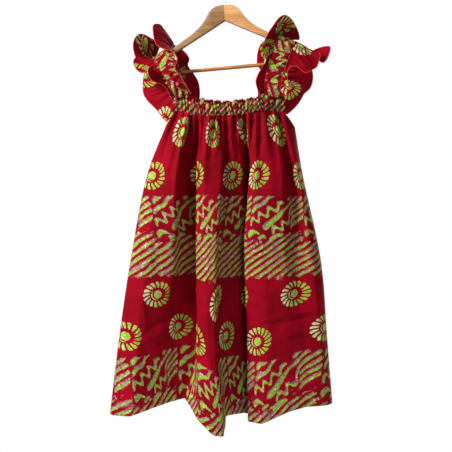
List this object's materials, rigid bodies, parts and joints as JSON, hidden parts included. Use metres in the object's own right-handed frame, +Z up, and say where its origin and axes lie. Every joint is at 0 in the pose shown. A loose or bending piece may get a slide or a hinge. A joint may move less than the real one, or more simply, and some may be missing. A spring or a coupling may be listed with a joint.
{
  "type": "batik-print cotton sundress on a wooden hanger",
  "caption": "Sleeveless gathered cotton sundress with an elasticated neck and ruffled shoulder straps, hanging open-hemmed from a wooden hanger with a trouser bar and a wire hook.",
  "frame": {"origin": "inside top of the hanger's hook, where the hook hangs on a rail", "axes": "+Z up; the dress faces -Y, and +X is to the right as seen from the front"},
  "size_m": [0.533, 0.1548, 1.0767],
  "materials": {
    "printed_cotton": "plain-woven cotton, wax-resist dyed red and lime, matt",
    "varnished_wood": "pale hardwood under a thin satin varnish",
    "steel_wire": "bright plated steel wire"
  },
  "bodies": {
    "root": {"front_panel": "printed_cotton", "back_panel": "printed_cotton", "neck_casing_front": "printed_cotton", "neck_casing_back": "printed_cotton", "strap_left": "printed_cotton", "strap_right": "printed_cotton", "ruffle_left_outer": "printed_cotton", "ruffle_left_inner": "printed_cotton", "ruffle_right_inner": "printed_cotton", "ruffle_right_outer": "printed_cotton", "hanger_arm_left": "varnished_wood", "hanger_arm_right": "varnished_wood", "trouser_bar": "varnished_wood", "hook": "steel_wire"}
  },
  "joints": []
}
